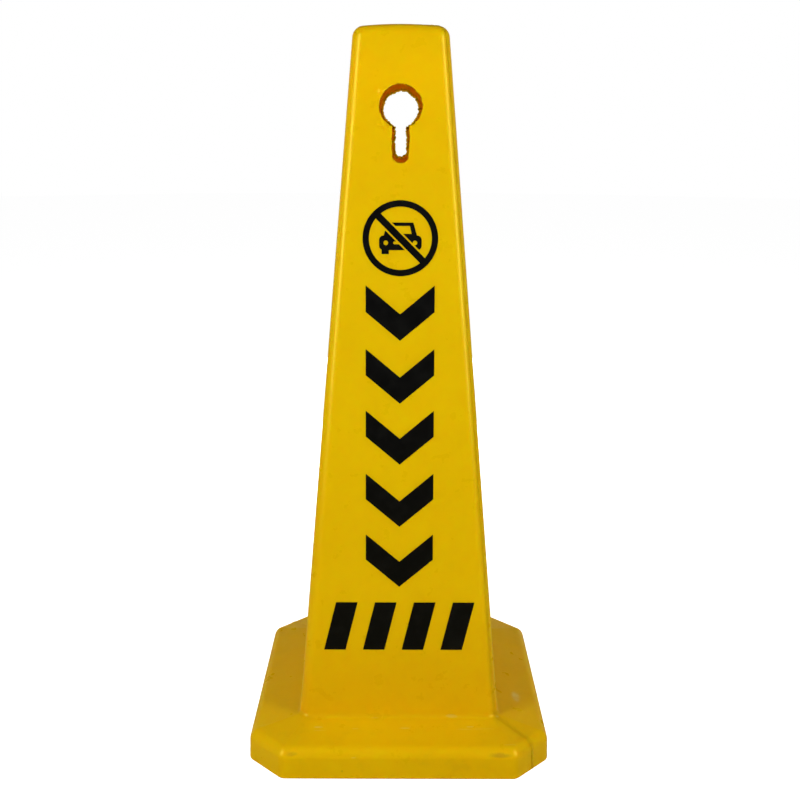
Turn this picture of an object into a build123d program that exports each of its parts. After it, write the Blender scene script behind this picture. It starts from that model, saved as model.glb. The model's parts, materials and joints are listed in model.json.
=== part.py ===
from build123d import *
import os
from math import atan, cos, degrees, radians, sin, tan

# A four-sided parking cone: one hollow blow-moulded shell, a tapered square tower on a low base
# whose corners are cut off.  +Z is up, the front face looks along -Y, and the origin is on the
# ground under the middle of the base.  Lengths are in millimetres, angles in degrees.

# Base
BASE_WIDTH = 280.0
BASE_CORNER_CUT = 32.5
BASE_DRAFT = 1.5
BASE_EDGE_RADIUS = 10.0
BOTTOM_EDGE_RADIUS = 2.0
SHOULDER_HEIGHT = 28.0
LEDGE_OVERLAP = 4.0

# Tower
FOOT_WIDTH = 188.0
FOOT_HEIGHT = 36.0
FOOT_FILLET = 4.0
TOP_WIDTH = 84.0
HEIGHT = 672.0
TOWER_EDGE_RADIUS = 9.0
TOP_EDGE_RADIUS = 9.0
TOP_CROWN = 2.5
TOWER_BURY = 6.0
WALL = 2.5

# Keyhole through the front and back walls: a finger grip, and a hook for a chain
KEYHOLE_HEIGHT = 600.0
KEYHOLE_RADIUS = 19.0
KEYHOLE_SLOT_WIDTH = 16.0
KEYHOLE_BOTTOM = 550.0

# Underside: a sunk panel with radial grooves around a pocket for the filler neck
RIM_WIDTH = 21.0
PANEL_HEIGHT = 4.0
PANEL_DRAFT = 20.0
PANEL_FILLET = 2.0
GROOVES = 8
GROOVE_WIDTH = 10.0
GROOVE_DEPTH = 3.0
GROOVE_START = 53.0
GROOVE_END = 104.0
GROOVE_DRAFT = 25.0
POCKET_RADIUS = 42.0
POCKET_HEIGHT = 26.5
POCKET_DRAFT = 5.0
POCKET_FILLET = 3.0

# Filler neck, its thread and its cap
NECK_RADIUS = 19.0
NECK_BORE_RADIUS = 15.5
NECK_MOUTH = 9.8
NECK_FILLET = 1.0
THREAD_PITCH = 4.0
THREAD_DEPTH = 1.4
THREAD_ROOT_WIDTH = 2.0
THREAD_CREST_WIDTH = 1.2
THREAD_BURY = 0.3
NECK_THREAD_START = 12.0
NECK_THREAD_TURNS = 1.5
CAP_RADIUS = 23.5
CAP_INNER_RADIUS = 20.8
CAP_BOTTOM = 6.0
CAP_PLATE = 2.2
CAP_TOP = 23.0
CAP_CHAMFER = 0.8
CAP_DIMPLE_RADIUS = 15.0
CAP_DIMPLE_DEPTH = 0.7
CAP_THREAD_TURNS = 1.2
GRIP_GROOVES = 36
GRIP_GROOVE_RADIUS = 1.2
GRIP_GROOVE_DEPTH = 0.7
LINER_RADIUS = 18.6
LINER_THICKNESS = 1.4
LINER_GAP = 0.1
LINER_CHAMFER = 0.3

# Sand inside the base, heaped a little towards the middle
SAND_LEVEL = 23.0
SAND_MOUND = 4.0
SAND_GAP = 0.2

# Marks: thin black film, laid out by the distance of each centre up the face from its foot
FILM = 0.15
RING_CENTRE = 450.0
RING_RADIUS = 33.75
RING_STROKE = 5.6
SLASH_WIDTH = 6.2
SLASH_CLEARANCE = 1.5
CHEVRON_CENTRES = [382.9, 325.3, 268.7, 210.0, 152.6]
CHEVRON_WIDTH = 62.0
CHEVRON_HEIGHT = 50.0
CHEVRON_THICKNESS = 24.0
BAR_CENTRE = 89.4
BARS = 4
BAR_PITCH = 36.3
BAR_WIDTH = 20.0
BAR_HEIGHT = 46.0
BAR_SHEAR = 11.3
CAR_WIDTH = 38.0
CAR_HEIGHT = 28.0
CAR_BODY_HEIGHT = 13.0
CAR_BODY_CORNER = 4.0
CAR_WAIST_WIDTH = 32.0
CAR_ROOF_WIDTH = 23.0
CAR_PILLAR = 3.0
CAR_LAMP_RADIUS = 2.1
CAR_LAMP_SPACING = 26.0
CAR_GRILLE_WIDTH = 13.0
CAR_GRILLE_HEIGHT = 2.6
WHEEL_WIDTH = 6.5
WHEEL_HEIGHT = 7.0
WHEEL_SPACING = 27.0

# How far an edge may be from where it is looked for
NEAR = 1.0
CLOSE = 0.01

# Worked out from the dimensions above
taper = atan((FOOT_WIDTH - TOP_WIDTH) / 2 / (HEIGHT - FOOT_HEIGHT))
draft = radians(BASE_DRAFT)
sand_radius = ((BASE_WIDTH / 2) ** 2 + SAND_MOUND**2) / (2 * SAND_MOUND)
base_top_run = (BASE_WIDTH - FOOT_WIDTH) / 2 - SHOULDER_HEIGHT * tan(draft)
base_top_slope = atan((FOOT_HEIGHT - SHOULDER_HEIGHT) / base_top_run)
crown_radius = ((TOP_WIDTH / 2) ** 2 + TOP_CROWN**2) / (2 * TOP_CROWN)
panel_half_width = BASE_WIDTH / 2 - RIM_WIDTH

os.makedirs("parts", exist_ok=True)


def octagon(half_width):
    """A square of the given half width whose corner cuts stay parallel to those of the base."""
    cut = BASE_CORNER_CUT - (BASE_WIDTH / 2 - half_width) * (2 - 2**0.5)
    square = Rectangle(2 * half_width, 2 * half_width)
    chamfer(square.vertices(), cut)


def envelope(inset):
    """The solid inside the outer skin, moved inwards by inset all over."""
    shoulder_drop = (1 / cos(base_top_slope) - tan(base_top_slope) / cos(draft)) / (
        1 - tan(draft) * tan(base_top_slope)
    )
    shoulder = SHOULDER_HEIGHT - inset * shoulder_drop

    def base_half_width(height):
        return BASE_WIDTH / 2 - inset / cos(draft) - height * tan(draft)

    def tower_half_width(height):
        return FOOT_WIDTH / 2 - inset / cos(taper) - (height - FOOT_HEIGHT) * tan(taper)

    tower_root = SHOULDER_HEIGHT - TOWER_BURY
    ledge_half_width = tower_half_width(FOOT_HEIGHT) - LEDGE_OVERLAP
    ledge_rise = (base_half_width(shoulder) - ledge_half_width) * tan(base_top_slope)

    with BuildPart() as base:
        with BuildSketch(Plane.XY.offset(inset)):
            octagon(base_half_width(inset))
        extrude(amount=shoulder - inset, taper=BASE_DRAFT)
        with BuildSketch(Plane.XY.offset(shoulder)):
            octagon(base_half_width(shoulder))
        extrude(amount=ledge_rise, taper=90 - degrees(base_top_slope))
        level_faces = base.faces().sort_by(Axis.Z)
        outer_edges = base.edges() - level_faces[0].edges() - level_faces[-1].edges()
        fillet(outer_edges, BASE_EDGE_RADIUS - inset)
        if inset < BOTTOM_EDGE_RADIUS:
            fillet(base.faces().sort_by(Axis.Z)[0].edges(), BOTTOM_EDGE_RADIUS - inset)

    with BuildPart() as solid:
        with BuildSketch(Plane.XY.offset(tower_root)):
            Rectangle(2 * tower_half_width(tower_root), 2 * tower_half_width(tower_root))
        extrude(amount=HEIGHT + 2 * TOP_CROWN - tower_root, taper=degrees(taper))
        with Locations((0, 0, HEIGHT - crown_radius)):
            Sphere(crown_radius - inset, mode=Mode.INTERSECT)
        fillet(solid.edges().filter_by(lambda edge: edge.length > HEIGHT / 2), TOWER_EDGE_RADIUS - inset)
        fillet(solid.faces().sort_by(Axis.Z)[-1].edges(), TOP_EDGE_RADIUS - inset)
        add(base.part)
        reach = FOOT_WIDTH / 2 + NEAR
        foot_edges = solid.edges().filter_by(
            lambda edge: abs(edge.center().Z - FOOT_HEIGHT + inset) < 2 * NEAR
            and edge.bounding_box().size.Z < NEAR
            and edge.bounding_box().max.X < reach
            and edge.bounding_box().min.X > -reach
            and edge.bounding_box().max.Y < reach
            and edge.bounding_box().min.Y > -reach
        )
        fillet(foot_edges, FOOT_FILLET + inset)
    return solid.part


def underside_hollow(grow):
    """The space sunk into the underside, moved outwards by grow all over."""
    with BuildPart() as hollow:
        with BuildSketch():
            octagon(panel_half_width + grow)
        extrude(amount=PANEL_HEIGHT + grow, taper=PANEL_DRAFT)
        fillet(hollow.faces().sort_by(Axis.Z)[-1].edges(), PANEL_FILLET)
        with BuildSketch(Plane.XY.offset(PANEL_HEIGHT)):
            with PolarLocations((GROOVE_START + GROOVE_END) / 2, GROOVES):
                SlotOverall(GROOVE_END - GROOVE_START + 2 * grow, GROOVE_WIDTH + 2 * grow)
        extrude(amount=GROOVE_DEPTH + grow, taper=GROOVE_DRAFT)
        with BuildSketch():
            Circle(POCKET_RADIUS + grow)
        extrude(amount=POCKET_HEIGHT + grow, taper=POCKET_DRAFT)
        fillet(hollow.faces().sort_by(Axis.Z)[-1].edges(), POCKET_FILLET)
    return hollow.part


def thread(root_radius, outwards, start, turns):
    """A right-handed ridge around +Z, from inside the wall that it stands on out to its crest."""
    side = 1 if outwards else -1
    with BuildPart() as ridge:
        with BuildLine() as helix:
            Helix(THREAD_PITCH, turns * THREAD_PITCH, root_radius, center=(0, 0, start))
        helix_plane = Plane(origin=(root_radius, 0, start), x_dir=(1, 0, 0), z_dir=helix.line % 0)
        with BuildSketch(helix_plane):
            with BuildLine():
                Polyline(
                    (-side * THREAD_BURY, -THREAD_ROOT_WIDTH / 2),
                    (0, -THREAD_ROOT_WIDTH / 2),
                    (side * THREAD_DEPTH, -THREAD_CREST_WIDTH / 2),
                    (side * THREAD_DEPTH, THREAD_CREST_WIDTH / 2),
                    (0, THREAD_ROOT_WIDTH / 2),
                    (-side * THREAD_BURY, THREAD_ROOT_WIDTH / 2),
                    close=True,
                )
            make_face()
        sweep(path=helix.line, is_frenet=True)
    return ridge.part


def write(name, piece):
    """Label one finished piece and write it to its own file."""
    piece.label = name
    export_step(piece, f"parts/{name}.step")


# ---------------------------------------------------------------- shell
outer_skin = envelope(0)
inner_skin = envelope(WALL)
underside = underside_hollow(0)
underside_wall = underside_hollow(WALL)
neck_thread = thread(NECK_RADIUS, True, NECK_THREAD_START, NECK_THREAD_TURNS)

with BuildPart() as cavity:
    add(inner_skin)
    add(underside_wall, mode=Mode.SUBTRACT)

with BuildPart() as cone_body:
    add(outer_skin)
    add(underside, mode=Mode.SUBTRACT)
    add(cavity.part, mode=Mode.SUBTRACT)
    with BuildSketch(Plane.XZ):
        with Locations((0, KEYHOLE_HEIGHT)):
            Circle(KEYHOLE_RADIUS)
        slot_end = KEYHOLE_BOTTOM + KEYHOLE_SLOT_WIDTH / 2
        with Locations((0, (KEYHOLE_HEIGHT + slot_end) / 2)):
            Rectangle(KEYHOLE_SLOT_WIDTH, KEYHOLE_HEIGHT - slot_end)
        with Locations((0, slot_end)):
            Circle(KEYHOLE_SLOT_WIDTH / 2)
    extrude(amount=FOOT_WIDTH / 2, both=True, mode=Mode.SUBTRACT)
    with BuildSketch(Plane.XY.offset(NECK_MOUTH)):
        Circle(NECK_RADIUS)
    extrude(amount=POCKET_HEIGHT + WALL / 2 - NECK_MOUTH)
    neck_root = cone_body.edges().filter_by(GeomType.CIRCLE).filter_by(
        lambda edge: abs(edge.radius - NECK_RADIUS) < CLOSE
        and abs(edge.center().Z - POCKET_HEIGHT) < CLOSE
    )
    fillet(neck_root, NECK_FILLET)
    add(neck_thread)
    with BuildSketch(Plane.XY.offset(NECK_MOUTH)):
        Circle(NECK_BORE_RADIUS)
    extrude(amount=POCKET_HEIGHT + 2 * WALL - NECK_MOUTH, mode=Mode.SUBTRACT)

write("cone_body", cone_body.part)

# ---------------------------------------------------------------- sand
sand_skin = envelope(WALL + SAND_GAP)
sand_floor = underside_hollow(WALL + SAND_GAP)

with BuildPart() as sand_ballast:
    add(sand_skin)
    with Locations((0, 0, SAND_LEVEL + SAND_MOUND - sand_radius)):
        Sphere(sand_radius, mode=Mode.INTERSECT)
    add(sand_floor, mode=Mode.SUBTRACT)
write("sand_ballast", sand_ballast.part)

# ---------------------------------------------------------------- filler cap and its liner
cap_thread_start = NECK_THREAD_START + THREAD_PITCH / 2
cap_thread = thread(CAP_INNER_RADIUS, False, cap_thread_start, CAP_THREAD_TURNS)

with BuildPart() as filler_cap:
    with BuildSketch(Plane.XY.offset(CAP_BOTTOM)):
        Circle(CAP_RADIUS)
    extrude(amount=CAP_TOP - CAP_BOTTOM)
    chamfer(filler_cap.edges().filter_by(GeomType.CIRCLE), CAP_CHAMFER)
    with BuildSketch(Plane.XY.offset(CAP_BOTTOM)):
        with PolarLocations(CAP_RADIUS + GRIP_GROOVE_RADIUS - GRIP_GROOVE_DEPTH, GRIP_GROOVES):
            Circle(GRIP_GROOVE_RADIUS)
    extrude(amount=CAP_TOP - CAP_BOTTOM, mode=Mode.SUBTRACT)
    with BuildSketch(Plane.XY.offset(CAP_BOTTOM)):
        Circle(CAP_DIMPLE_RADIUS)
    extrude(amount=CAP_DIMPLE_DEPTH, mode=Mode.SUBTRACT)
    with BuildSketch(Plane.XY.offset(CAP_BOTTOM + CAP_PLATE)):
        Circle(CAP_INNER_RADIUS)
    extrude(amount=CAP_TOP - CAP_BOTTOM, mode=Mode.SUBTRACT)
    add(cap_thread)
write("filler_cap", filler_cap.part)

with BuildPart() as cap_liner:
    with BuildSketch(Plane.XY.offset(CAP_BOTTOM + CAP_PLATE + LINER_GAP)):
        Circle(LINER_RADIUS)
    extrude(amount=LINER_THICKNESS)
    chamfer(cap_liner.edges().filter_by(GeomType.CIRCLE), LINER_CHAMFER)
write("cap_liner", cap_liner.part)


# ---------------------------------------------------------------- marks
def face_plane(side):
    """The plane of the front face (side -1) or back face (side 1), with its origin at the foot."""
    return Plane(
        origin=(0, side * FOOT_WIDTH / 2, FOOT_HEIGHT),
        x_dir=(-side, 0, 0),
        z_dir=(0, side * cos(taper), sin(taper)),
    )


def prohibition_ring(face):
    """A ring with a slash from its upper left to its lower right."""
    with BuildPart() as film:
        with BuildSketch(face):
            with Locations((0, RING_CENTRE)):
                Circle(RING_RADIUS)
                Circle(RING_RADIUS - RING_STROKE, mode=Mode.SUBTRACT)
                Rectangle(SLASH_WIDTH, 2 * RING_RADIUS - RING_STROKE, rotation=45)
        extrude(amount=FILM)
    return film.part


def car_symbol(face):
    """The front of a plain car, cut back from the slash that crosses it."""
    bottom = RING_CENTRE - CAR_HEIGHT / 2
    body_middle = bottom + WHEEL_HEIGHT / 2 + CAR_BODY_HEIGHT / 2
    waist = body_middle + CAR_BODY_HEIGHT / 2 - CAR_BODY_CORNER
    roof = RING_CENTRE + CAR_HEIGHT / 2
    sill = waist + CAR_BODY_CORNER + CAR_PILLAR / 2
    with BuildPart() as film:
        with BuildSketch(face):
            with Locations((0, body_middle)):
                RectangleRounded(CAR_WIDTH, CAR_BODY_HEIGHT, CAR_BODY_CORNER)
            Polygon(
                (-CAR_WAIST_WIDTH / 2, waist),
                (CAR_WAIST_WIDTH / 2, waist),
                (CAR_ROOF_WIDTH / 2, roof),
                (-CAR_ROOF_WIDTH / 2, roof),
                align=None,
            )
            with Locations((-WHEEL_SPACING / 2, bottom), (WHEEL_SPACING / 2, bottom)):
                Rectangle(WHEEL_WIDTH, WHEEL_HEIGHT, align=(Align.CENTER, Align.MIN))
            Polygon(
                (-CAR_WAIST_WIDTH / 2 + 2 * CAR_PILLAR, sill),
                (CAR_WAIST_WIDTH / 2 - 2 * CAR_PILLAR, sill),
                (CAR_ROOF_WIDTH / 2 - CAR_PILLAR, roof - CAR_PILLAR),
                (-CAR_ROOF_WIDTH / 2 + CAR_PILLAR, roof - CAR_PILLAR),
                align=None,
                mode=Mode.SUBTRACT,
            )
            with Locations((-CAR_LAMP_SPACING / 2, body_middle), (CAR_LAMP_SPACING / 2, body_middle)):
                Circle(CAR_LAMP_RADIUS, mode=Mode.SUBTRACT)
            with Locations((0, body_middle)):
                SlotOverall(CAR_GRILLE_WIDTH, CAR_GRILLE_HEIGHT, mode=Mode.SUBTRACT)
            with Locations((0, RING_CENTRE)):
                Rectangle(
                    SLASH_WIDTH + 2 * SLASH_CLEARANCE,
                    2 * RING_RADIUS,
                    rotation=45,
                    mode=Mode.SUBTRACT,
                )
        extrude(amount=FILM)
    return film.part


def chevron(face, centre):
    """One chevron that points down the face."""
    half_width = CHEVRON_WIDTH / 2
    top = centre + CHEVRON_HEIGHT / 2
    bottom = centre - CHEVRON_HEIGHT / 2
    with BuildPart() as film:
        with BuildSketch(face):
            Polygon(
                (-half_width, top),
                (-half_width, bottom + CHEVRON_HEIGHT - CHEVRON_THICKNESS),
                (0, bottom),
                (half_width, bottom + CHEVRON_HEIGHT - CHEVRON_THICKNESS),
                (half_width, top),
                (0, bottom + CHEVRON_THICKNESS),
                align=None,
            )
        extrude(amount=FILM)
    return film.part


def slanted_bar(face, across):
    """One hazard bar that leans to the right."""
    with BuildPart() as film:
        with BuildSketch(face):
            Polygon(
                (across - BAR_SHEAR / 2 - BAR_WIDTH / 2, BAR_CENTRE - BAR_HEIGHT / 2),
                (across - BAR_SHEAR / 2 + BAR_WIDTH / 2, BAR_CENTRE - BAR_HEIGHT / 2),
                (across + BAR_SHEAR / 2 + BAR_WIDTH / 2, BAR_CENTRE + BAR_HEIGHT / 2),
                (across + BAR_SHEAR / 2 - BAR_WIDTH / 2, BAR_CENTRE + BAR_HEIGHT / 2),
                align=None,
            )
        extrude(amount=FILM)
    return film.part


for name, side in (("front", -1), ("back", 1)):
    face = face_plane(side)
    write(f"{name}_prohibition_ring", prohibition_ring(face))
    write(f"{name}_car_symbol", car_symbol(face))
    for number, centre in enumerate(CHEVRON_CENTRES, 1):
        write(f"{name}_chevron_{number}", chevron(face, centre))
    for number in range(1, BARS + 1):
        across = (number - (BARS + 1) / 2) * BAR_PITCH
        write(f"{name}_bar_{number}", slanted_bar(face, across))
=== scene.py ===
import json
from math import acos, asin, atan, atan2, ceil, cos, exp, hypot, pi, radians, sin, sqrt, tan

import bmesh
import bpy
from mathutils import Matrix, Vector, noise


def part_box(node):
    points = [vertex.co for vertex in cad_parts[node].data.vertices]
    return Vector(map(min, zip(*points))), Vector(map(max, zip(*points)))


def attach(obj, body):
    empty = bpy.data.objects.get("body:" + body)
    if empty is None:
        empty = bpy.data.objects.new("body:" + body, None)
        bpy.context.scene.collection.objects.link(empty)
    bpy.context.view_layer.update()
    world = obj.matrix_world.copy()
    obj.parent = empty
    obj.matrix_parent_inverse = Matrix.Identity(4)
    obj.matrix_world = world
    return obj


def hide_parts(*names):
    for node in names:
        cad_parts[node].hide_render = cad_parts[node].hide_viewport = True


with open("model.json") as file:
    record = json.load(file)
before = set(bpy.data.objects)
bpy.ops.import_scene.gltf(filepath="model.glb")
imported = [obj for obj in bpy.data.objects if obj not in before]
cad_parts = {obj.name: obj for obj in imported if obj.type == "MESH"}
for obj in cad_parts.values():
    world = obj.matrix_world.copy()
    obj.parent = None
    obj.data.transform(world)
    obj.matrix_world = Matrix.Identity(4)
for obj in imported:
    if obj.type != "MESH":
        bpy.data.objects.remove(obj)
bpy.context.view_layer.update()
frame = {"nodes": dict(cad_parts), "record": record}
MM = 0.001

# The shell's sizes in millimetres. The tower's edges are a little rounder than the CAD's.
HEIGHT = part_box("cone_body")[1].z / MM
BASE_HALF = 140.0
CORNER_CUT = 32.5
DRAFT = radians(1.5)
EDGE_RADIUS = 10.0
BOTTOM_RADIUS = 2.0
SHOULDER = 28.0
FOOT_HALF = 94.0
FOOT = 36.0
FOOT_FILLET = 4.0
TOP_HALF = 42.0
TOWER_RADIUS = 10.5
CROWN = 2.5
WALL = 2.5
TAPER = atan((FOOT_HALF - TOP_HALF) / (HEIGHT - FOOT))
SLOPE = atan((FOOT - SHOULDER) / (BASE_HALF - FOOT_HALF - SHOULDER * tan(DRAFT)))
CROWN_RADIUS = (TOP_HALF**2 + CROWN**2) / (2 * CROWN)

PANEL_HALF = 119.0
PANEL_CORNER = 2.5
PANEL = 4.0
PANEL_DRAFT = radians(20)
GROOVES = 8
GROOVE_HALF = 5.0
GROOVE_DEPTH = 3.0
GROOVE_DRAFT = radians(25)
GROOVE_START = 53.0
GROOVE_END = 104.0
POCKET_RADIUS = 42.0
POCKET = 26.5
POCKET_DRAFT = radians(5)
# Rounding at the mouth and at the roof of each hollow in the underside.
PANEL_ROUNDING = (0.8, 1.6)
GROOVE_ROUNDING = (0.8, 0.9)
POCKET_ROUNDING = (1.5, 3.0)
NECK_RADIUS = 19.0
BORE_RADIUS = 15.5
NECK_MOUTH = 9.8
NECK_FILLET = 1.0
NECK_EDGE = 0.4
THREAD_PITCH = 4.0
THREAD_START = 12.0
THREAD_TURNS = 1.5
THREAD_DEPTH = 1.4
THREAD_ROOT_WIDTH = 2.0
THREAD_CREST_WIDTH = 1.2
THREAD_BURY = 0.3
THREAD_STEPS = 72
THREAD_RUN_OUT = 5

keyhole = next(m for m in frame["record"]["mounts"] if m["name"] == "keyhole")
KEYHOLE = keyhole["pos_m"][2] / MM
KEYHOLE_RADIUS = keyhole["dims"]["r_mm"]
SLOT_HALF = 8.0
SLOT_REACH = 50.0
SLOT_END = KEYHOLE - SLOT_REACH + SLOT_HALF


# ---------------------------------------------------------------- outlines
STRAIGHT_STEPS = 10
ARC_STEPS = 10
OCTAGON_ARC_STEPS = 6
SUPPORT = 1.0


def straight(width, end):
    """Points from the middle of a side to the start of its corner, with one close to the corner."""
    steps = [end * i / STRAIGHT_STEPS for i in range(STRAIGHT_STEPS)]
    return [(width, y) for y in steps + [end - min(SUPPORT, end * 0.05), end]]


def square_half(half, radius):
    """An eighth of a rounded square, from the middle of its +X side to its diagonal."""
    centre = half - radius
    turn = [pi / 4 * i / ARC_STEPS for i in range(1, ARC_STEPS + 1)]
    return straight(half, centre) + [(centre + radius * cos(a), centre + radius * sin(a)) for a in turn]


def octagon_half(half, radius):
    """An eighth of the base's octagon, with the same number of points as square_half."""
    cut = CORNER_CUT - (BASE_HALF - half) * (2 - sqrt(2))
    end = half - cut - radius * tan(pi / 8)
    turn = [pi / 4 * i / OCTAGON_ARC_STEPS for i in range(1, OCTAGON_ARC_STEPS + 1)]
    arc = [(half - radius + radius * cos(a), end + radius * sin(a)) for a in turn]
    diagonal = half - cut / 2
    x, y = arc[-1]
    steps = ARC_STEPS - OCTAGON_ARC_STEPS
    cut_side = [(x + (diagonal - x) * i / steps, y + (diagonal - y) * i / steps)
                for i in range(1, steps + 1)]
    return straight(half, end) + arc + cut_side


def all_round(eighth):
    """The full outline from one eighth of it, starting in the middle of the +X side."""
    quarter = eighth + [(y, x) for x, y in reversed(eighth[1:-1])]
    turns = ((1, 0), (0, 1), (-1, 0), (0, -1))
    return [(x * c - y * s, x * s + y * c) for c, s in turns for x, y in quarter]


# ---------------------------------------------------------------- the shell's two skins
def tower_half(z, inset):
    return FOOT_HALF - inset / cos(TAPER) - (z - FOOT) * tan(TAPER)


def ledge(x, y, inset):
    """Height of the sloping top of the base, the lowest of its eight planes."""
    reach = BASE_HALF - SHOULDER * tan(DRAFT)
    diagonal_reach = (2 * BASE_HALF - CORNER_CUT) / sqrt(2) - SHOULDER * tan(DRAFT)
    inwards = min(reach - max(abs(x), abs(y)), diagonal_reach - (abs(x) + abs(y)) / sqrt(2))
    return SHOULDER + inwards * tan(SLOPE) - inset / cos(SLOPE)


def crown_drop(x, y):
    """How far the domed top is below its middle."""
    return CROWN_RADIUS - sqrt(CROWN_RADIUS**2 - x * x - y * y)


def top_fillet(inset):
    """Centre and radius, in the middle of a side, of the rounding between the top and the walls."""
    radius = TOWER_RADIUS - inset
    z = HEIGHT - inset - radius - CROWN
    for _ in range(20):
        u = tower_half(z, inset) - radius / cos(TAPER)
        z = HEIGHT - CROWN_RADIUS + sqrt((CROWN_RADIUS - inset - radius) ** 2 - u * u)
    return u, z, radius


def shoulder_fillet(inset):
    """Centre and radius of the rounding between the skirt and the sloping top of the base."""
    radius = EDGE_RADIUS - inset
    # distance from both lines: u cos(DRAFT) + z sin(DRAFT) = a, u sin(SLOPE) + z cos(SLOPE) = b
    a = BASE_HALF * cos(DRAFT) - EDGE_RADIUS
    shoulder_half = BASE_HALF - SHOULDER * tan(DRAFT)
    b = shoulder_half * sin(SLOPE) + SHOULDER * cos(SLOPE) - EDGE_RADIUS
    determinant = cos(DRAFT) * cos(SLOPE) - sin(DRAFT) * sin(SLOPE)
    u = (a * cos(SLOPE) - b * sin(DRAFT)) / determinant
    z = (b * cos(DRAFT) - a * sin(SLOPE)) / determinant
    return u, z, radius


def steps_between(low, high, step):
    count = max(1, ceil(abs(high - low) / step))
    return [low + (high - low) * i / count for i in range(count + 1)]


CROWN_SHARES = (0.06, 0.2, 0.4, 0.6, 0.8, 0.95)
TOP_STEPS = 10
FOOT_STEPS = 8
LEDGE_SHARES = [0.05] + [i / 8 for i in range(1, 8)] + [0.96]
SHOULDER_STEPS = 12
BOTTOM_STEPS = 5
WALL_SPACING = 13
SKIRT_SPACING = 5


def skin_rings(inset):
    """Rings of one skin from the middle of the top down to the bottom edge of the base."""
    rings = []
    u, z, radius = top_fillet(inset)
    crown_end = acos(u / (CROWN_RADIUS - inset - radius))
    for share in CROWN_SHARES:
        outline = all_round(square_half(u * share, TOWER_RADIUS * share * 0.3))
        rings.append([(x, y, HEIGHT - inset - crown_drop(x, y)) for x, y in outline])
    for i in range(TOP_STEPS + 1):
        angle = crown_end + (TAPER - crown_end) * i / TOP_STEPS
        half = u + radius * cos(angle)
        ring = []
        for x, y in all_round(square_half(half, max(radius * cos(angle), 0.3))):
            lower = crown_drop(x, y) - crown_drop(max(abs(x), abs(y)), 0)
            ring.append((x * (1 + lower * tan(TAPER) / half), y * (1 + lower * tan(TAPER) / half),
                         z + radius * sin(angle) - lower))
        rings.append(ring)
    wall_top = z + radius * sin(TAPER)
    fillet = FOOT_FILLET + inset
    # centre of the hollow rounding at the foot, measured outwards and up from the foot line
    determinant = cos(TAPER) * cos(SLOPE) - sin(TAPER) * sin(SLOPE)
    a = FOOT_FILLET + FOOT_HALF * cos(TAPER) + FOOT * sin(TAPER)
    b = FOOT_FILLET + FOOT_HALF * sin(SLOPE) + FOOT * cos(SLOPE)
    foot_u = (a * cos(SLOPE) - b * sin(TAPER)) / determinant
    foot_z = (b * cos(TAPER) - a * sin(SLOPE)) / determinant
    wall_bottom = foot_z - fillet * sin(TAPER)
    heights = [wall_top - 4] + steps_between(wall_top - 10, wall_bottom + 3, WALL_SPACING)
    heights += [wall_bottom + 1]
    for height in heights:
        half = tower_half(height, inset)
        rings.append([(x, y, height) for x, y in all_round(square_half(half, TOWER_RADIUS - inset))])
    for i in range(FOOT_STEPS + 1):
        angle = TAPER + (pi / 2 - SLOPE - TAPER) * i / FOOT_STEPS
        half = foot_u - fillet * cos(angle)
        height = foot_z - fillet * sin(angle)
        proud = half - tower_half(height, inset)
        ring = []
        for x, y in all_round(square_half(half, TOWER_RADIUS - inset + proud)):
            on_ledge = ledge(x, y, inset) - ledge(half, 0, inset)
            ring.append((x, y, height + on_ledge * i / FOOT_STEPS))
        rings.append(ring)
    foot_ring = all_round(square_half(half, TOWER_RADIUS - inset + proud))
    u, z, radius = shoulder_fillet(inset)
    flat_end = pi / 2 - SLOPE
    shoulder_ring = all_round(octagon_half(u + radius * cos(flat_end), radius * cos(flat_end)))
    for share in LEDGE_SHARES:
        ring = []
        for (x0, y0), (x1, y1) in zip(foot_ring, shoulder_ring):
            x, y = x0 + (x1 - x0) * share, y0 + (y1 - y0) * share
            ring.append((x, y, ledge(x, y, inset)))
        rings.append(ring)
    for i in range(SHOULDER_STEPS + 1):
        angle = flat_end + (DRAFT - flat_end) * i / SHOULDER_STEPS
        outline = all_round(octagon_half(u + radius * cos(angle), radius * cos(angle)))
        rings.append([(x, y, z + radius * sin(angle)) for x, y in outline])
    bottom = max(BOTTOM_RADIUS - inset, 0)
    for height in steps_between(z - 1, inset + bottom + 1, SKIRT_SPACING):
        half = BASE_HALF - inset / cos(DRAFT) - height * tan(DRAFT)
        rings.append([(x, y, height) for x, y in all_round(octagon_half(half, radius))])
    if bottom:
        centre = (BASE_HALF * cos(DRAFT) - bottom - bottom * sin(DRAFT)) / cos(DRAFT)
        for i in range(BOTTOM_STEPS + 1):
            angle = DRAFT - (DRAFT + pi / 2) * i / BOTTOM_STEPS
            half = centre + bottom * cos(angle)
            outline = all_round(octagon_half(half, radius - bottom * (1 - cos(angle))))
            rings.append([(x, y, bottom + bottom * sin(angle)) for x, y in outline])
    else:
        floor_half = BASE_HALF - inset / cos(DRAFT) - inset * tan(DRAFT)
        rings.append([(x, y, inset) for x, y in all_round(octagon_half(floor_half, radius))])
    return rings


TAGS = ("cut", "flash")
SHARP_ANGLE = radians(32)


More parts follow.
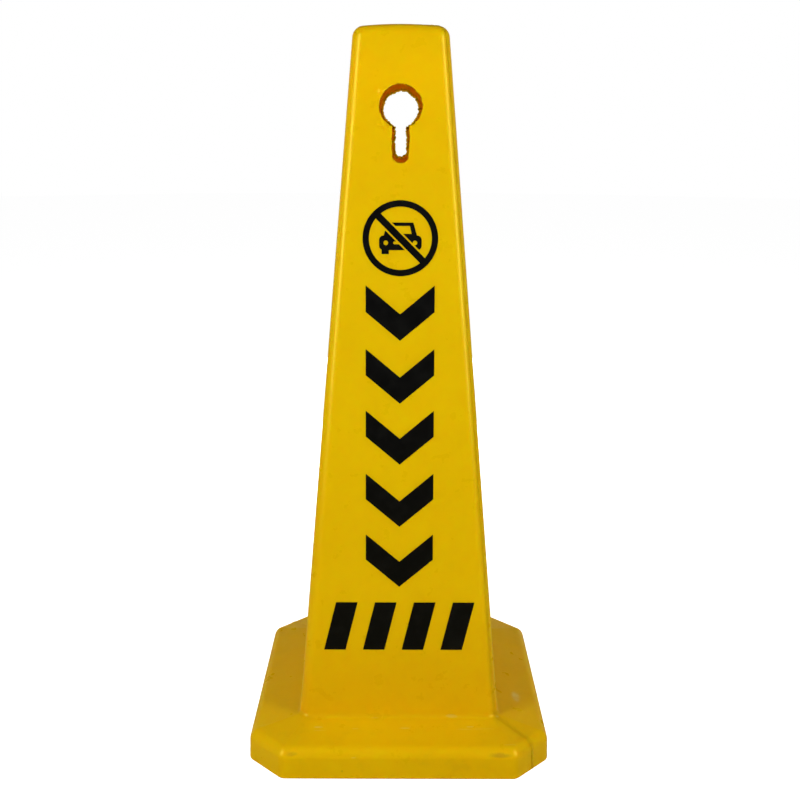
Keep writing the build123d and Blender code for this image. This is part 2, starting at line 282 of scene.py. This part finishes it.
class Shell:
    """A mesh built from loops of points in millimetres."""

    def __init__(self):
        self.bm = bmesh.new()
        self.tags = {tag: self.bm.verts.layers.float.new(tag) for tag in TAGS}
        self.tag = None

    def loop(self, points):
        verts = [self.bm.verts.new(p) for p in points]
        if self.tag:
            for vert in verts:
                vert[self.tags[self.tag]] = 1
        return verts

    def bridge(self, first, second, skip=None):
        for i in range(len(first)):
            j = (i + 1) % len(first)
            quad = (first[i], first[j], second[j], second[i])
            if skip is None or not skip(sum((v.co for v in quad), Vector()) / 4):
                self.bm.faces.new(quad)

    def rings(self, rings, skip=None):
        loops = [self.loop(r) for r in rings]
        for first, second in zip(loops, loops[1:]):
            self.bridge(first, second, skip)
        return loops

    def edges_of(self, loop):
        pairs = zip(loop, loop[1:] + loop[:1])
        return [self.bm.edges.get(p) or self.bm.edges.new(p) for p in pairs]

    def fill(self, *loops):
        """Flat faces between loops that lie in one plane."""
        edges = [e for loop in loops for e in self.edges_of(loop)]
        self.fill_edges(edges)

    def fill_edges(self, edges):
        bmesh.ops.triangle_fill(self.bm, use_beauty=True, use_dissolve=False, edges=edges)

    def piece(self, name):
        loose = [vert for vert in self.bm.verts if not vert.link_faces]
        bmesh.ops.delete(self.bm, geom=loose, context="VERTS")
        bmesh.ops.recalc_face_normals(self.bm, faces=self.bm.faces)
        bmesh.ops.scale(self.bm, vec=(MM, MM, MM), verts=self.bm.verts)
        mesh = bpy.data.meshes.new(name)
        self.bm.to_mesh(mesh)
        self.bm.free()
        mesh.shade_smooth()
        mesh.set_sharp_from_angle(angle=SHARP_ANGLE)
        piece = bpy.data.objects.new(name, mesh)
        bpy.context.scene.collection.objects.link(piece)
        return piece


# ---------------------------------------------------------------- underside
def circle(radius, z, count=96):
    return [(radius * cos(2 * pi * i / count), radius * sin(2 * pi * i / count), z) for i in range(count)]


def slot_outline(half_width, angle, z):
    """One radial groove's outline, grown or shrunk with its half width."""
    start, end = GROOVE_START + GROOVE_HALF, GROOVE_END - GROOVE_HALF
    points = []
    for middle, first in ((end, -pi / 2), (start, pi / 2)):
        turn = [pi / 12 * i + first for i in range(13)]
        points += [(middle + half_width * cos(a), half_width * sin(a)) for a in turn]
    return [(x * cos(angle) - y * sin(angle), x * sin(angle) + y * cos(angle), z) for x, y in points]


ROUNDING_STEPS = 5


def rounded_step(outer, inner, z_low, z_high, mouth, roof):
    """(size, height) pairs up a slanting wall with a rounded mouth below and a rounded roof above."""
    lean = atan2(outer - inner, z_high - z_low)
    turn = pi / 2 - lean
    pairs = []
    for i in range(ROUNDING_STEPS + 1):
        angle = turn * i / ROUNDING_STEPS
        reach = mouth * tan(turn / 2)
        pairs.append((outer + reach - mouth * sin(angle), z_low + mouth * (1 - cos(angle))))
    for i in range(ROUNDING_STEPS + 1):
        angle = turn * (ROUNDING_STEPS - i) / ROUNDING_STEPS
        reach = roof * tan(turn / 2)
        pairs.append((inner - reach + roof * sin(angle), z_high - roof * (1 - cos(angle))))
    return pairs


def underside(shell, rim_loop, grow):
    """Everything inwards of the rim on one skin, up to the loop around the filler bore."""
    rim_z = grow
    panel_z = PANEL + grow
    wall_lean = tan(PANEL_DRAFT)
    outer, inner = PANEL_HALF + grow - rim_z * wall_lean, PANEL_HALF + grow - panel_z * wall_lean
    rings = []
    for half, z in rounded_step(outer, inner, rim_z, panel_z, *PANEL_ROUNDING):
        rings.append([(x, y, z) for x, y in all_round(octagon_half(half, PANEL_CORNER))])
    wall = shell.rings(rings)
    shell.fill(rim_loop, wall[0])
    groove_top = panel_z + GROOVE_DEPTH
    half_low = GROOVE_HALF + grow - grow * tan(GROOVE_DRAFT)
    half_high = half_low - GROOVE_DEPTH * tan(GROOVE_DRAFT)
    holes = [wall[-1]]
    for n in range(GROOVES):
        steps = rounded_step(half_low, half_high, panel_z, groove_top, *GROOVE_ROUNDING)
        loops = shell.rings([slot_outline(half, 2 * pi * n / GROOVES, z) for half, z in steps])
        shell.fill(loops[-1])
        holes.append(loops[0])
    pocket_low = POCKET_RADIUS + grow - panel_z * tan(POCKET_DRAFT)
    pocket_high = POCKET_RADIUS + grow - (POCKET + grow) * tan(POCKET_DRAFT)
    steps = rounded_step(pocket_low, pocket_high, panel_z, POCKET + grow, *POCKET_ROUNDING)
    pocket = shell.rings([circle(radius, z) for radius, z in steps])
    holes.append(pocket[0])
    shell.fill(*holes)
    return pocket[-1]


def neck(shell, roof_loop, roof_loop_inside):
    """The filler neck hanging in its pocket, and the bore through it."""
    fillet, edge = NECK_FILLET, NECK_EDGE
    turn = [pi / 8 * i for i in range(5)]
    profile = [(NECK_RADIUS + fillet * (1 - sin(a)), POCKET - fillet * (1 - cos(a))) for a in turn]
    profile += [(NECK_RADIUS, NECK_MOUTH + 6), (NECK_RADIUS, NECK_MOUTH + edge)]
    profile += [(NECK_RADIUS - edge, NECK_MOUTH), (BORE_RADIUS + edge, NECK_MOUTH)]
    profile += [(BORE_RADIUS, NECK_MOUTH + edge), (BORE_RADIUS, NECK_MOUTH + 8)]
    profile += [(BORE_RADIUS, POCKET + WALL - edge), (BORE_RADIUS + edge, POCKET + WALL)]
    loops = shell.rings([circle(r, z) for r, z in profile])
    shell.fill(roof_loop, loops[0])
    shell.fill(roof_loop_inside, loops[-1])


def neck_thread(shell):
    """A ridge wound right-handed around +Z, tapering into the neck at both ends."""
    count = ceil(THREAD_STEPS * THREAD_TURNS)
    buried = NECK_RADIUS - THREAD_BURY
    root, crest = THREAD_ROOT_WIDTH / 2, THREAD_CREST_WIDTH / 2
    loops = []
    for i in range(count + 1):
        angle = 2 * pi * THREAD_TURNS * i / count
        z = THREAD_START + THREAD_PITCH * angle / (2 * pi)
        rise = min(1, i / THREAD_RUN_OUT, (count - i) / THREAD_RUN_OUT)
        top = NECK_RADIUS + THREAD_DEPTH * max(rise, 0.05)
        section = [(buried, -root), (NECK_RADIUS, -root), (top, -crest),
                   (top, crest), (NECK_RADIUS, root), (buried, root)]
        loops.append(shell.loop([(r * cos(angle), r * sin(angle), z + w) for r, w in section]))
    for first, second in zip(loops, loops[1:]):
        shell.bridge(first, second)
    shell.bm.faces.new(loops[0])
    shell.bm.faces.new(loops[-1])


# ---------------------------------------------------------------- keyhole
KEYHOLE_POINTS = 220
REGION_LOW, REGION_HIGH, REGION_HALF = KEYHOLE - 68, KEYHOLE + 34, 29.0
# Bumps in the plastic beside the front cut, as across, height, rise and spread.
PUCKERS = ((-17.4, 612.6, 1.2, 5.0), (-18.2, 582.3, 1.2, 7.0))
# Radius, half slot width, drop, roughness, bevel and bumps of each cut.
FRONT_CUT = (KEYHOLE_RADIUS + 0.2, SLOT_HALF - 0.4, 0, 1.2, 0, PUCKERS)
BACK_CUT = (KEYHOLE_RADIUS - 2.6, SLOT_HALF - 3.2, 2.2, 1.5, 2.6, ())
# How far each ring lies from the cut, and its share of the burr's height.
OUTER_STEPS = ((8.0, 0.0), (7.0, 0.05), (6.0, 0.1), (5.0, 0.2), (4.0, 0.3), (3.2, 0.5), (2.4, 0.7),
               (1.6, 0.95), (0.8, 1.0), (0.25, 0.8))
# How deep each ring of the cut lies in the wall, and how ragged it is.
CUT_STEPS = ((0.15, 0.0), (0.8, 0.25), (1.6, -0.2), (2.3, 0.3))
INNER_STEPS = (0.3, 1.2)
SOFTENED_POINTS = 8
SOFTENED_REACH = 16


def keyhole_outline(radius, slot_half, slot_end, drop, roughness, seed):
    """A keyhole cut by hand, as points of (across, height, outward across, outward height)."""
    join = asin(slot_half / radius)
    centre = KEYHOLE - drop
    circle_length = radius * (2 * pi - 2 * join)
    side_length = centre - radius * cos(join) - slot_end
    end_length = pi * slot_half
    total = circle_length + 2 * side_length + end_length
    outline = []
    for i in range(KEYHOLE_POINTS):
        along = total * i / KEYHOLE_POINTS
        if along < circle_length:
            angle = -pi / 2 + join + along / radius
            x, z, nx, nz = radius * cos(angle), centre + radius * sin(angle), cos(angle), sin(angle)
        elif along < circle_length + side_length:
            x, z, nx, nz = -slot_half, centre - radius * cos(join) - (along - circle_length), -1, 0
        elif along < circle_length + side_length + end_length:
            angle = pi + (along - circle_length - side_length) / slot_half
            x, z, nx, nz = slot_half * cos(angle), slot_end + slot_half * sin(angle), cos(angle), sin(angle)
        else:
            x, z, nx, nz = slot_half, slot_end + along - circle_length - side_length - end_length, 1, 0
        slow, quick = Vector((x, z, 0)) * 0.16, Vector((x, z, 0)) * 0.45
        fine = Vector((x, z, 0)) * 1.1
        wobble = sum(share * noise.noise(place + Vector((0, 0, seed)))
                     for share, place in ((0.6, slow), (0.6, quick), (0.5, fine)))
        outline.append((x + nx * wobble * roughness, z + nz * wobble * roughness, nx, nz))
    return outline


def on_wall(side, inset, x, z):
    """A point of the front (side -1) or back (side 1) wall of one skin."""
    return Vector((x, side * tower_half(z, inset), z))


def soft_normals(outline, radius, drop):
    """Outward directions that turn gradually past the corners where the slot meets the circle."""
    count = len(outline)
    corner_z = KEYHOLE - drop - radius * cos(asin(SLOT_HALF / radius))
    spread = []
    for i, (x, z, nx, nz) in enumerate(outline):
        total = Vector((0, 0))
        for step in range(-SOFTENED_POINTS, SOFTENED_POINTS + 1):
            total += Vector(outline[(i + step) % count][2:])
        reach = min(1, 0.3 + hypot(abs(x) - SLOT_HALF, z - corner_z) / SOFTENED_REACH)
        spread.append(total.normalized() * reach)
    return spread


def keyhole_loops(shell, side):
    """The cut edge through one wall, returned as its outermost loop on the outer and on the inner skin."""
    normal = Vector((0, side * cos(TAPER), sin(TAPER)))
    radius, slot_half, drop, roughness, bevel, puckers = FRONT_CUT if side < 0 else BACK_CUT
    outline = keyhole_outline(radius, slot_half, SLOT_END, drop, roughness, 3.7 * side)
    spread = soft_normals(outline, radius, drop)
    burr = [0.16 + 0.22 * noise.noise(Vector((x * 0.11, z * 0.11, 9 * side))) for x, z, nx, nz in outline]
    rings = []
    for offset, share in OUTER_STEPS:
        ring = []
        for (x, z, nx, nz), away, b in zip(outline, spread, burr):
            across, height = x + away.x * offset, z + away.y * offset
            rise = share * b
            if share:
                for u, v, tall, wide in puckers:
                    rise += tall * exp(-((across - u) ** 2 + (height - v) ** 2) / wide)
            ring.append(on_wall(side, 0, across, height) + normal * rise)
        rings.append(ring)
    outside = shell.rings(rings)
    rings = []
    for depth, ragged in CUT_STEPS:
        ring = []
        for x, z, nx, nz in outline:
            out = ragged * noise.noise(Vector((x * 0.7, z * 0.7, depth * 4))) + bevel * depth / WALL
            ring.append(on_wall(side, 0, x + nx * out, z + nz * out) - normal * depth)
        rings.append(ring)
    shell.tag = "cut"
    edge = shell.rings(rings)
    shell.tag = None
    rings = []
    for offset in INNER_STEPS:
        rings.append([on_wall(side, WALL, x + away.x * (offset + bevel), z + away.y * (offset + bevel))
                      for (x, z, nx, nz), away in zip(outline, spread)])
    inside = shell.rings(rings)
    shell.bridge(outside[-1], edge[0])
    shell.bridge(edge[-1], inside[0])
    return outside[0], inside[-1]


def in_keyhole_region(point):
    near_wall = abs(point.y) > abs(point.x) and abs(point.x) < REGION_HALF
    return near_wall and REGION_LOW < point.z < REGION_HIGH


def close_region(shell, side, inset, hole_loop):
    """Flat faces between the keyhole's outermost loop and the gap left for it in one skin."""
    low, high, half = REGION_LOW - 15, REGION_HIGH + 15, REGION_HALF + 8
    edges = []
    for edge in shell.bm.edges:
        middle = (edge.verts[0].co + edge.verts[1].co) / 2
        on_wall_plane = abs(side * middle.y - tower_half(middle.z, inset)) < 0.05
        nearby = abs(middle.x) < half and low < middle.z < high
        if len(edge.link_faces) == 1 and on_wall_plane and nearby:
            edges.append(edge)
    shell.fill_edges(list(set(edges) | set(shell.edges_of(hole_loop))))


# ---------------------------------------------------------------- parting line
FLASH_STEP = 1.6
FLASH_BURY = 0.3
FLASH_PACE = 0.11
# Half widths at the foot and at the tip, on the tower and on the base.
TOWER_FLASH, BASE_FLASH = (0.75, 0.22), (1.5, 0.5)


def flash(shell):
    """The trimmed ridge that the mould left over the front right corner, the top and the back left."""
    rings = skin_rings(0)
    per_quarter = len(rings[0]) // 4
    front_right = per_quarter * 3 + per_quarter // 2
    back_left = per_quarter + per_quarter // 2
    path = [Vector(r[front_right]) for r in reversed(rings)] + [Vector(r[back_left]) for r in rings]
    across = Vector((1, 1, 0)).normalized()
    points = []
    for a, b in zip(path, path[1:]):
        steps = max(1, ceil((b - a).length / FLASH_STEP))
        points += [a.lerp(b, i / steps) for i in range(steps)]
    points.append(path[-1])
    points = [point for point in points if point.z > 1]
    shell.tag = "flash"
    loops = []
    for i, point in enumerate(points):
        ahead = points[min(i + 1, len(points) - 1)] - points[max(i - 1, 0)]
        outwards = across.cross(ahead).normalized()
        if outwards.dot(point - Vector((0, 0, HEIGHT / 2))) < 0:
            outwards.negate()
        where = i * FLASH_PACE
        height = 0.32 + 0.35 * noise.noise(Vector((where, 0.3, 1.7)))
        height += 0.25 * noise.noise(Vector((where * 4, 2.3, 0.7)))
        height = min(max(height, 0.04), HEIGHT - point.z - 0.03)
        sway = 0.35 * noise.noise(Vector((where * 0.5, 7.7, 4.1)))
        foot, tip = TOWER_FLASH if point.z > FOOT + 6 else BASE_FLASH
        section = ((-foot, -FLASH_BURY), (-tip, height), (tip, height * 0.85), (foot, -FLASH_BURY))
        loops.append(shell.loop([point + across * (sway + a) + outwards * b for a, b in section]))
    for first, second in zip(loops, loops[1:]):
        shell.bridge(first, second)
    shell.bm.faces.new(loops[0])
    shell.bm.faces.new(loops[-1])
    shell.tag = None


def make_body():
    shell = Shell()
    outer = shell.rings(skin_rings(0), in_keyhole_region)
    inner = shell.rings(skin_rings(WALL), in_keyhole_region)
    shell.fill(outer[0])
    shell.fill(inner[0])
    for side in (-1, 1):
        outside, inside = keyhole_loops(shell, side)
        close_region(shell, side, 0, outside)
        close_region(shell, side, WALL, inside)
    roof = underside(shell, outer[-1], 0)
    roof_inside = underside(shell, inner[-1], WALL)
    neck(shell, roof, roof_inside)
    neck_thread(shell)
    flash(shell)
    return shell.piece("moulded_body")


body = make_body()
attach(body, "cone")
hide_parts("cone_body")


# ---------------------------------------------------------------- materials
class Nodes:
    """A small helper around one material's node tree."""

    def __init__(self, name):
        self.material = bpy.data.materials.new(name)
        self.material.use_nodes = True
        self.tree = self.material.node_tree
        self.shader = self.tree.nodes["Principled BSDF"]
        self.output = self.tree.nodes["Material Output"]
        self.place = self.add("ShaderNodeTexCoord").outputs["Object"]

    def add(self, kind, **settings):
        node = self.tree.nodes.new(kind)
        for name, value in settings.items():
            setattr(node, name, value)
        return node

    def link(self, source, target):
        self.tree.links.new(source, target)

    def stretched(self, scale, turn=(0, 0, 0)):
        mapping = self.add("ShaderNodeMapping")
        mapping.inputs["Scale"].default_value = scale
        mapping.inputs["Rotation"].default_value = turn
        self.link(self.place, mapping.inputs["Vector"])
        return mapping.outputs["Vector"]

    def noise(self, scale, detail=2, rough=0.5, place=None):
        node = self.add("ShaderNodeTexNoise")
        node.inputs["Scale"].default_value = scale
        node.inputs["Detail"].default_value = detail
        node.inputs["Roughness"].default_value = rough
        self.link(place or self.place, node.inputs["Vector"])
        return node.outputs["Fac"]

    def ramp(self, value, low, high, to_low=0.0, to_high=1.0):
        node = self.add("ShaderNodeMapRange", interpolation_type="SMOOTHSTEP")
        node.inputs["From Min"].default_value = low
        node.inputs["From Max"].default_value = high
        node.inputs["To Min"].default_value = to_low
        node.inputs["To Max"].default_value = to_high
        self.link(value, node.inputs["Value"])
        return node.outputs["Result"]

    def math(self, operation, first, second):
        node = self.add("ShaderNodeMath", operation=operation)
        for value, target in ((first, node.inputs[0]), (second, node.inputs[1])):
            if isinstance(value, (int, float)):
                target.default_value = value
            else:
                self.link(value, target)
        return node.outputs["Value"]

    def mix(self, factor, first, second):
        node = self.add("ShaderNodeMix", data_type="RGBA")
        for value, target in ((factor, node.inputs[0]), (first, node.inputs[6]), (second, node.inputs[7])):
            if isinstance(value, (int, float)):
                target.default_value = value
            elif isinstance(value, tuple):
                target.default_value = (*value, 1)
            else:
                self.link(value, target)
        return node.outputs[2]

    def bump(self, height, strength, distance, under=None):
        node = self.add("ShaderNodeBump")
        node.inputs["Strength"].default_value = strength
        node.inputs["Distance"].default_value = distance
        self.link(height, node.inputs["Height"])
        if under:
            self.link(under, node.inputs["Normal"])
        return node.outputs["Normal"]

    def attribute(self, name):
        return self.add("ShaderNodeAttribute", attribute_name=name).outputs["Fac"]

    def spots(self, places):
        """Soft-edged marks, each around its own place."""
        total = None
        for centre, reach in places:
            mapping = self.add("ShaderNodeMapping", vector_type="TEXTURE")
            mapping.inputs["Location"].default_value = centre
            mapping.inputs["Scale"].default_value = reach
            self.link(self.place, mapping.inputs["Vector"])
            length = self.add("ShaderNodeVectorMath", operation="LENGTH")
            self.link(mapping.outputs["Vector"], length.inputs[0])
            mark = self.ramp(length.outputs["Value"], 0.3, 1.0, 1.0, 0.0)
            total = self.math("MAXIMUM", total, mark) if total else mark
        return total

    def orange_peel(self, strength):
        """The moulded surface's slow waves and fine grain, which the film on it follows."""
        waves = self.bump(self.noise(16, 1, 0.4), 0.5, 0.0012)
        return self.bump(self.noise(420, 2, 0.5), strength, 0.0006, waves)

    def height(self):
        split = self.add("ShaderNodeSeparateXYZ")
        self.link(self.place, split.inputs[0])
        return split.outputs["Z"]

    def set(self, **values):
        for name, value in values.items():
            socket = self.shader.inputs[name.replace("_", " ")]
            if isinstance(value, bpy.types.NodeSocket):
                self.link(value, socket)
            elif isinstance(value, tuple) and len(value) == 3 and len(socket.default_value) == 4:
                socket.default_value = (*value, 1)
            else:
                socket.default_value = value
        return self.material


# Marks in metres, as centre and reach, where they lie on the photographed cone: dark smudges, light scuffs
# and one painted reflection.
SMUDGES = (
    ((-0.098, -0.14, 0.0245), (0.0085, 0.02, 0.0026)),
    ((0.092, -0.14, 0.0240), (0.0140, 0.02, 0.0030)),
    ((-0.0515, -0.14, 0.0085), (0.0014, 0.01, 0.0014)),
)
SCUFFS_AND_SHEEN = (
    # The first entry is no scuff but a painted reflection: a pale patch of sheen on the right side ledge.
    ((0.115, -0.049, 0.031), (0.0055, 0.0130, 0.01)),
    ((0.0935, -0.0925, 0.039), (0.0025, 0.0025, 0.007)),
    ((-0.075, -0.108, 0.031), (0.0060, 0.0009, 0.01)),
    ((-0.0405, -0.110, 0.031), (0.0045, 0.0008, 0.01)),
    ((0.006, -0.109, 0.031), (0.0070, 0.0009, 0.01)),
    ((0.0668, -0.107, 0.031), (0.0050, 0.0008, 0.01)),
)


def yellow_plastic():
    n = Nodes("yellow_polyethylene")
    broad = n.ramp(n.noise(9, 3), 0.35, 0.7)
    upper = n.mix(broad, (0.84, 0.450, 0.0006), (0.82, 0.432, 0.0005))
    lower = n.mix(broad, (0.84, 0.428, 0.0006), (0.81, 0.404, 0.0005))
    clean = n.mix(n.ramp(n.height(), 0.03, 0.42), lower, upper)
    # Painted shade: the tower is darkened just above its foot and fades out by about 16 cm up, where the
    # ledge shades the face.
    foot = n.math("MULTIPLY", n.ramp(n.height(), 0.034, 0.038), n.ramp(n.height(), 0.05, 0.16, 0.55, 0.0))
    shaded = n.mix(foot, clean, (0.72, 0.345, 0.0004))
    mottled = n.mix(n.ramp(n.noise(140, 4, 0.65), 0.45, 0.75, 0, 0.08), shaded, (0.72, 0.34, 0.0006))
    low = n.ramp(n.height(), 0.0, 0.09, 1.0, 0.0)
    grime = n.math("MULTIPLY", n.ramp(n.noise(38, 5, 0.7), 0.5, 0.72, 0, 0.14), low)
    streaks = n.ramp(n.noise(160, 4, 0.7, n.stretched((0.5, 1, 2))), 0.35, 0.6, 0.15, 0.55)
    smudged = n.math("MAXIMUM", grime, n.math("MULTIPLY", n.spots(SMUDGES), streaks))
    dirty = n.mix(smudged, mottled, (0.40, 0.22, 0.01))
    scratch_field = n.noise(26, 2, 0.5, n.stretched((1.0, 9.0, 3.0), (0.3, 0.2, 0.9)))
    scratch = n.math("MULTIPLY", n.ramp(scratch_field, 0.71, 0.73, 0, 0.15), low)
    # Light scratches and scuffs, with one painted reflection patch on the right ledge in the same pale
    # colour.
    wear_and_sheen = n.math("MAXIMUM", scratch, n.math("MULTIPLY", n.spots(SCUFFS_AND_SHEEN), streaks))
    scratched_and_sheened = n.mix(wear_and_sheen, dirty, (0.93, 0.72, 0.28))
    cut = n.mix(n.math("MULTIPLY", n.attribute("cut"), 0.8), scratched_and_sheened, (0.56, 0.40, 0.008))
    flash = n.mix(n.math("MULTIPLY", n.attribute("flash"), 0.4), cut, (0.93, 0.50, 0.002))
    cut_rough = n.math("MULTIPLY", n.attribute("cut"), 0.25)
    rough = n.math("ADD", n.ramp(n.noise(60, 4, 0.6), 0.3, 0.8, 0.27, 0.38), cut_rough)
    depth = n.ramp(n.attribute("cut"), 0.0, 1.0, 0.5, 0.35)
    return n.set(Base_Color=flash, Roughness=rough, Normal=n.orange_peel(0.12), Subsurface_Weight=depth,
                 Subsurface_Radius=(0.018, 0.0075, 0.0008), Subsurface_Scale=1.0, IOR=1.5,
                 Specular_IOR_Level=0.5, Specular_Tint=(1.0, 0.82, 0.12))


def black_film():
    n = Nodes("black_film")
    colour = n.mix(n.ramp(n.noise(70, 4, 0.6), 0.4, 0.8), (0.0010, 0.0010, 0.0011), (0.0035, 0.0034, 0.0032))
    rough = n.ramp(n.noise(55, 4, 0.6), 0.3, 0.8, 0.34, 0.5)
    return n.set(Base_Color=colour, Roughness=rough, Normal=n.orange_peel(0.10), Specular_IOR_Level=0.1)


def cap_plastic():
    n = Nodes("cap_plastic")
    colour = n.mix(n.ramp(n.noise(90, 4, 0.6), 0.4, 0.75), (0.012, 0.012, 0.013), (0.028, 0.027, 0.026))
    rough = n.ramp(n.noise(240, 3, 0.6), 0.3, 0.8, 0.36, 0.55)
    grain = n.bump(n.noise(1500, 2, 0.5), 0.25, 0.0003)
    return n.set(Base_Color=colour, Roughness=rough, Normal=grain)


def liner_foam():
    n = Nodes("liner_foam")
    colour = n.mix(n.ramp(n.noise(900, 3, 0.6), 0.4, 0.7), (0.78, 0.78, 0.75), (0.62, 0.62, 0.58))
    cells = n.bump(n.noise(2600, 2, 0.6), 0.5, 0.0003)
    return n.set(Base_Color=colour, Roughness=0.85, Normal=cells)


def sand():
    n = Nodes("dry_sand")
    grain = n.noise(1800, 4, 0.7)
    colour = n.mix(n.ramp(grain, 0.35, 0.7), (0.50, 0.37, 0.22), (0.22, 0.15, 0.09))
    return n.set(Base_Color=colour, Roughness=0.95, Normal=n.bump(grain, 0.9, 0.0008))


def paint(piece, material):
    piece.data.materials.clear()
    piece.data.materials.append(material)


paint(body, yellow_plastic())
film = black_film()
for name, node in frame["nodes"].items():
    if name.startswith(("front_", "back_")):
        paint(node, film)
paint(frame["nodes"]["filler_cap"], cap_plastic())
paint(frame["nodes"]["cap_liner"], liner_foam())
paint(frame["nodes"]["sand_ballast"], sand())


# ---------------------------------------------------------------- stage
FLOOR_SIZE = 8.0
FLOOR_SIDES = 32
FLOOR_GAP = 2.6
FLOOR_GLOW = 0.94
FLOOR_WHITE = (0.9, 0.9, 0.9, 1)
FLOOR_BOUNCE = (0.42, 0.38, 0.14)


def pale_floor():
    """A wide floor with a hole hidden under the base, white to a camera above it and dim to other light."""
    bm = bmesh.new()
    outline = [(x * MM, y * MM, 0) for x, y in all_round(octagon_half(BASE_HALF - FLOOR_GAP, 5))]
    wide = circle(FLOOR_SIZE, 0, FLOOR_SIDES)
    edges = []
    for points in (outline, wide):
        verts = [bm.verts.new(p) for p in points]
        edges += [bm.edges.new(pair) for pair in zip(verts, verts[1:] + verts[:1])]
    bmesh.ops.triangle_fill(bm, use_beauty=True, use_dissolve=False, edges=edges)
    for face in bm.faces:
        if face.normal.z < 0:
            face.normal_flip()
    mesh = bpy.data.meshes.new("floor")
    bm.to_mesh(mesh)
    bm.free()
    floor = bpy.data.objects.new("floor", mesh)
    bpy.context.scene.collection.objects.link(floor)
    n = Nodes("pale_floor")
    lit = n.add("ShaderNodeAddShader")
    white = n.add("ShaderNodeEmission")
    white.inputs["Strength"].default_value = FLOOR_GLOW
    paper = n.add("ShaderNodeBsdfDiffuse")
    paper.inputs["Color"].default_value = FLOOR_WHITE
    n.link(white.outputs[0], lit.inputs[0])
    n.link(paper.outputs[0], lit.inputs[1])
    to_camera = n.add("ShaderNodeMixShader")
    n.link(n.add("ShaderNodeLightPath").outputs["Is Camera Ray"], to_camera.inputs[0])
    n.link(n.shader.outputs[0], to_camera.inputs[1])
    n.link(lit.outputs[0], to_camera.inputs[2])
    from_below = n.add("ShaderNodeMixShader")
    n.link(n.add("ShaderNodeNewGeometry").outputs["Backfacing"], from_below.inputs[0])
    n.link(to_camera.outputs[0], from_below.inputs[1])
    n.link(n.add("ShaderNodeBsdfTransparent").outputs[0], from_below.inputs[2])
    n.link(from_below.outputs[0], n.output.inputs["Surface"])
    paint(floor, n.set(Base_Color=FLOOR_BOUNCE, Roughness=0.8, Specular_IOR_Level=0.0))
    return floor


pale_floor()


# ---------------------------------------------------------------- light
GLOW_EDGE = 0.22
HORIZON_GLOW = 0.25
SKY_GLOW = 0.05
AIM = Vector((0, 0, 0.4))
KEY_SIZE = (0.32, 1.0)
LOW_SIZE = (0.9, 0.2)
WIDE_SIZE = (1.5, 0.4)
BELOW_SIZE = (0.8, 0.8)


def studio():
    """White to the camera, a dim even glow to everything else."""
    world = bpy.data.worlds.new("studio")
    world.use_nodes = True
    tree = world.node_tree
    dim = tree.nodes["Background"]
    dim.inputs["Color"].default_value = (1, 1, 1, 1)
    height = tree.nodes.new("ShaderNodeSeparateXYZ")
    tree.links.new(tree.nodes.new("ShaderNodeTexCoord").outputs["Generated"], height.inputs[0])
    glow = tree.nodes.new("ShaderNodeMapRange")
    glow.inputs["From Max"].default_value = GLOW_EDGE
    glow.inputs["To Min"].default_value = HORIZON_GLOW
    glow.inputs["To Max"].default_value = SKY_GLOW
    tree.links.new(height.outputs["Z"], glow.inputs["Value"])
    tree.links.new(glow.outputs["Result"], dim.inputs["Strength"])
    white = tree.nodes.new("ShaderNodeBackground")
    white.inputs["Color"].default_value = (1, 1, 1, 1)
    either = tree.nodes.new("ShaderNodeMixShader")
    tree.links.new(tree.nodes.new("ShaderNodeLightPath").outputs["Is Camera Ray"], either.inputs[0])
    tree.links.new(dim.outputs[0], either.inputs[1])
    tree.links.new(white.outputs[0], either.inputs[2])
    tree.links.new(either.outputs[0], tree.nodes["World Output"].inputs["Surface"])
    return world


bpy.context.scene.world = studio()
bpy.context.scene.view_settings.view_transform = "Standard"


def softbox(name, azimuth, away, height, power, size, in_reflections=True):
    """A soft light, away metres out and azimuth degrees round to the right from the camera's side."""
    light = bpy.data.lights.new(name, "AREA")
    light.shape, light.size, light.size_y, light.energy = "RECTANGLE", *size, power
    lamp = bpy.data.objects.new(name, light)
    turn = radians(azimuth)
    lamp.location = (away * sin(turn), -away * cos(turn), height)
    lamp.rotation_euler = (AIM - lamp.location).to_track_quat("-Z", "Y").to_euler()
    lamp.visible_glossy = in_reflections
    bpy.context.scene.collection.objects.link(lamp)


softbox("left_key", -49, 1.2, 0.76, 13.73, KEY_SIZE)
softbox("right_key", 49, 1.2, 0.76, 12.51, KEY_SIZE)
softbox("left_back", -158, 1.6, 0.0, 9.0, LOW_SIZE, in_reflections=False)
softbox("right_back", 158, 1.6, 0.0, 9.0, LOW_SIZE, in_reflections=False)
softbox("behind", 180, 1.1, 0.22, 12.0, WIDE_SIZE, in_reflections=False)
softbox("below_front", 20, 0.7, -0.9, 6.0, BELOW_SIZE)
softbox("below_back", 190, 0.7, -0.9, 5.0, BELOW_SIZE)

# ---------------------------------------------------------------- camera
CAMERA_BACK = 1.0284
CAMERA_HEIGHT = 0.5884
CAMERA_PITCH = radians(12)
CAMERA_ROLL = radians(0.19)
SENSOR_WIDTH = 36
LENS_OVER_WIDTH = 1.3607
SHIFT_DOWN = 0.0616

camera = bpy.data.objects.new("camera", bpy.data.cameras.new("camera"))
camera.location = (0, -CAMERA_BACK, CAMERA_HEIGHT)
level = Matrix.Rotation(pi / 2 - CAMERA_PITCH, 3, "X")
camera.rotation_euler = (level @ Matrix.Rotation(CAMERA_ROLL, 3, "Z")).to_euler()
camera.data.sensor_width = SENSOR_WIDTH
camera.data.lens = SENSOR_WIDTH * LENS_OVER_WIDTH
camera.data.shift_y = -SHIFT_DOWN
bpy.context.scene.collection.objects.link(camera)
bpy.context.scene.camera = camera
